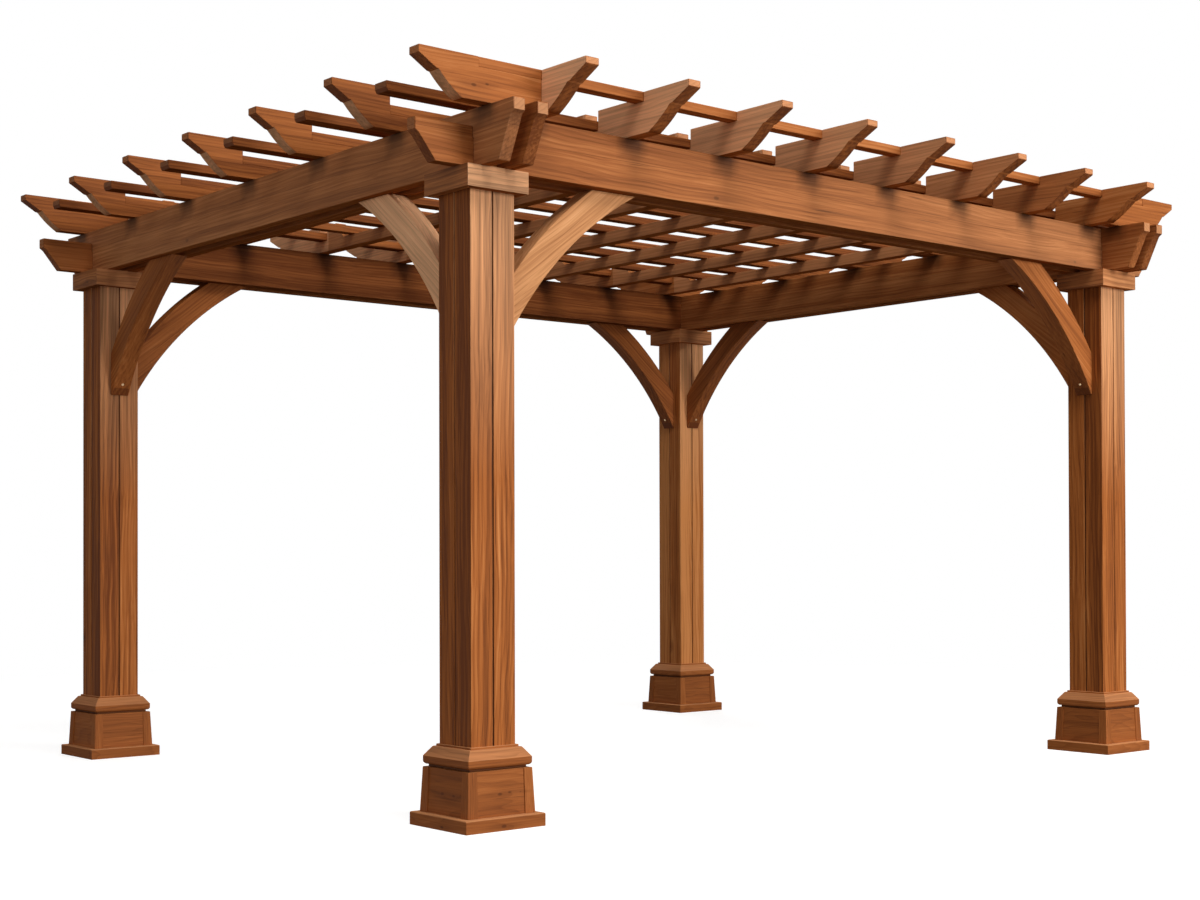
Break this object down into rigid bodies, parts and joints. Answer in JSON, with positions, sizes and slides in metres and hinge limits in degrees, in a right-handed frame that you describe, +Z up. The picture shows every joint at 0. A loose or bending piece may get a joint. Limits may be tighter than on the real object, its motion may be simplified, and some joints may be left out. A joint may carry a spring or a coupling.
{
  "type": "wooden pergola",
  "caption": "Open timber pergola: square posts on moulded plinths, doubled beams with sloped tails, arched braces, shaped rafters and a flat batten roof.",
  "frame": {"origin": "centre of the footprint on the ground", "axes": "+Z up, X along the battens and the longer side, Y along the rafters, -Y the front"},
  "size_m": [4.39, 3.78, 2.625],
  "materials": {
    "post_wood": "satin oiled",
    "plinth_wood": "satin oiled",
    "beam_wood": "satin oiled",
    "brace_wood": "satin oiled",
    "rafter_wood": "satin oiled",
    "batten_wood": "satin oiled"
  },
  "bodies": {
    "root": {"post_left_front": "post_wood", "post_right_front": "post_wood", "post_left_back": "post_wood", "post_right_back": "post_wood", "plinth_board_left_front": "plinth_wood", "plinth_board_right_front": "plinth_wood", "plinth_board_left_back": "plinth_wood", "plinth_board_right_back": "plinth_wood", "plinth_box_left_front": "plinth_wood", "plinth_box_right_front": "plinth_wood", "plinth_box_left_back": "plinth_wood", "plinth_box_right_back": "plinth_wood", "plinth_collar_left_front": "plinth_wood", "plinth_collar_right_front": "plinth_wood", "plinth_collar_left_back": "plinth_wood", "plinth_collar_right_back": "plinth_wood", "capital_left_front": "post_wood", "capital_right_front": "post_wood", "capital_left_back": "post_wood", "capital_right_back": "post_wood", "braces_left_front": "brace_wood", "braces_right_front": "brace_wood", "braces_left_back": "brace_wood", "braces_right_back": "brace_wood", "beam_front_outer": "beam_wood", "beam_front_inner": "beam_wood", "beam_back_outer": "beam_wood", "beam_back_inner": "beam_wood", "beam_left_outer": "beam_wood", "beam_left_inner": "beam_wood", "beam_right_outer": "beam_wood", "beam_right_inner": "beam_wood", "rafter_1": "rafter_wood", "rafter_2": "rafter_wood", "rafter_3": "rafter_wood", "rafter_4": "rafter_wood", "rafter_5": "rafter_wood", "rafter_6": "rafter_wood", "rafter_7": "rafter_wood", "rafter_8": "rafter_wood", "battens": "batten_wood", "tail_boards_left": "rafter_wood", "tail_boards_right": "rafter_wood"}
  },
  "joints": []
}
